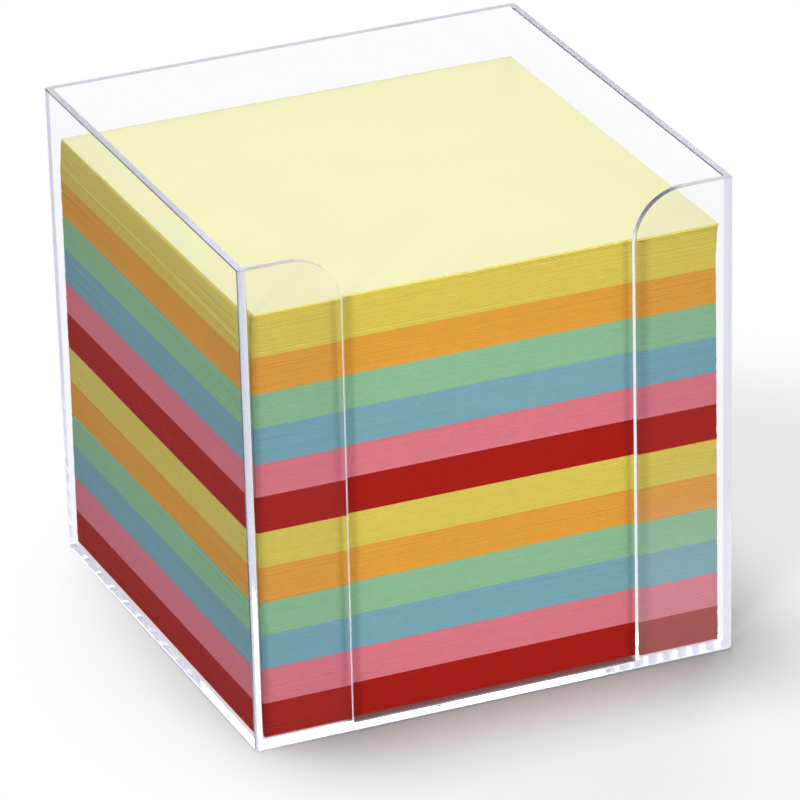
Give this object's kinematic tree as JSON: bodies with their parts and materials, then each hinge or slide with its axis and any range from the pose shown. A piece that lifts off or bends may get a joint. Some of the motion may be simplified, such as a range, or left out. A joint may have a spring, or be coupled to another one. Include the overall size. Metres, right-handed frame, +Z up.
{
  "type": "memo box",
  "caption": "Clear open-topped desk tray with a cut-away front between two rounded tabs, holding a stack of loose square note slips in coloured packs.",
  "frame": {"origin": "middle of the tray's underside", "axes": "+X to the right along the front, +Y from the open front to the back wall, +Z up out of the mouth"},
  "size_m": [0.0954, 0.0954, 0.094],
  "materials": {
    "clear_plastic": "polished clear moulded polystyrene",
    "red_paper": "uncoated dyed note paper",
    "pink_paper": "uncoated dyed note paper",
    "blue_paper": "uncoated dyed note paper",
    "green_paper": "uncoated dyed note paper",
    "orange_paper": "uncoated dyed note paper",
    "yellow_paper": "uncoated dyed note paper"
  },
  "bodies": {
    "tray": {"clear_tray": "clear_plastic"},
    "red_slips_lower": {"red_slips_lower": "red_paper"},
    "pink_slips_lower": {"pink_slips_lower": "pink_paper"},
    "blue_slips_lower": {"blue_slips_lower": "blue_paper"},
    "green_slips_lower": {"green_slips_lower": "green_paper"},
    "orange_slips_lower": {"orange_slips_lower": "orange_paper"},
    "yellow_slips_lower": {"yellow_slips_lower": "yellow_paper"},
    "red_slips_upper": {"red_slips_upper": "red_paper"},
    "pink_slips_upper": {"pink_slips_upper": "pink_paper"},
    "blue_slips_upper": {"blue_slips_upper": "blue_paper"},
    "green_slips_upper": {"green_slips_upper": "green_paper"},
    "orange_slips_upper": {"orange_slips_upper": "orange_paper"},
    "yellow_slips_upper": {"yellow_slips_upper": "yellow_paper"},
    "loose_slip_1": {"loose_slip_1": "yellow_paper"},
    "loose_slip_2": {"loose_slip_2": "yellow_paper"},
    "loose_slip_3": {"loose_slip_3": "yellow_paper"},
    "loose_slip_4": {"loose_slip_4": "yellow_paper"},
    "loose_slip_5": {"loose_slip_5": "yellow_paper"},
    "loose_slip_6": {"loose_slip_6": "yellow_paper"},
    "loose_slip_7": {"loose_slip_7": "yellow_paper"},
    "loose_slip_8": {"loose_slip_8": "yellow_paper"}
  },
  "joints": [
    {"name": "red_lower_lift", "type": "slide", "parent": "tray", "child": "red_slips_lower", "axis": [0, 0, 1], "range_m": [0, 0.0972]},
    {"name": "pink_lower_lift", "type": "slide", "parent": "red_slips_lower", "child": "pink_slips_lower", "axis": [0, 0, 1], "range_m": [0, 0.09047]},
    {"name": "blue_lower_lift", "type": "slide", "parent": "pink_slips_lower", "child": "blue_slips_lower", "axis": [0, 0, 1], "range_m": [0, 0.08363]},
    {"name": "green_lower_lift", "type": "slide", "parent": "blue_slips_lower", "child": "green_slips_lower", "axis": [0, 0, 1], "range_m": [0, 0.0769]},
    {"name": "orange_lower_lift", "type": "slide", "parent": "green_slips_lower", "child": "orange_slips_lower", "axis": [0, 0, 1], "range_m": [0, 0.07041]},
    {"name": "yellow_lower_lift", "type": "slide", "parent": "orange_slips_lower", "child": "yellow_slips_lower", "axis": [0, 0, 1], "range_m": [0, 0.06357]},
    {"name": "red_upper_lift", "type": "slide", "parent": "yellow_slips_lower", "child": "red_slips_upper", "axis": [0, 0, 1], "range_m": [0, 0.05673]},
    {"name": "pink_upper_lift", "type": "slide", "parent": "red_slips_upper", "child": "pink_slips_upper", "axis": [0, 0, 1], "range_m": [0, 0.04976]},
    {"name": "blue_upper_lift", "type": "slide", "parent": "pink_slips_upper", "child": "blue_slips_upper", "axis": [0, 0, 1], "range_m": [0, 0.04339]},
    {"name": "green_upper_lift", "type": "slide", "parent": "blue_slips_upper", "child": "green_slips_upper", "axis": [0, 0, 1], "range_m": [0, 0.03643]},
    {"name": "orange_upper_lift", "type": "slide", "parent": "green_slips_upper", "child": "orange_slips_upper", "axis": [0, 0, 1], "range_m": [0, 0.02982]},
    {"name": "yellow_upper_lift", "type": "slide", "parent": "orange_slips_upper", "child": "yellow_slips_upper", "axis": [0, 0, 1], "range_m": [0, 0.02286]},
    {"name": "loose_slip_1_lift", "type": "slide", "parent": "yellow_slips_upper", "child": "loose_slip_1", "axis": [0, 0, 1], "range_m": [0, 0.01554]},
    {"name": "loose_slip_2_lift", "type": "slide", "parent": "loose_slip_1", "child": "loose_slip_2", "axis": [0, 0, 1], "range_m": [0, 0.01543]},
    {"name": "loose_slip_3_lift", "type": "slide", "parent": "loose_slip_2", "child": "loose_slip_3", "axis": [0, 0, 1], "range_m": [0, 0.01531]},
    {"name": "loose_slip_4_lift", "type": "slide", "parent": "loose_slip_3", "child": "loose_slip_4", "axis": [0, 0, 1], "range_m": [0, 0.01519]},
    {"name": "loose_slip_5_lift", "type": "slide", "parent": "loose_slip_4", "child": "loose_slip_5", "axis": [0, 0, 1], "range_m": [0, 0.01507]},
    {"name": "loose_slip_6_lift", "type": "slide", "parent": "loose_slip_5", "child": "loose_slip_6", "axis": [0, 0, 1], "range_m": [0, 0.01495]},
    {"name": "loose_slip_7_lift", "type": "slide", "parent": "loose_slip_6", "child": "loose_slip_7", "axis": [0, 0, 1], "range_m": [0, 0.01484]},
    {"name": "loose_slip_8_lift", "type": "slide", "parent": "loose_slip_7", "child": "loose_slip_8", "axis": [0, 0, 1], "range_m": [0, 0.01472]}
  ]
}
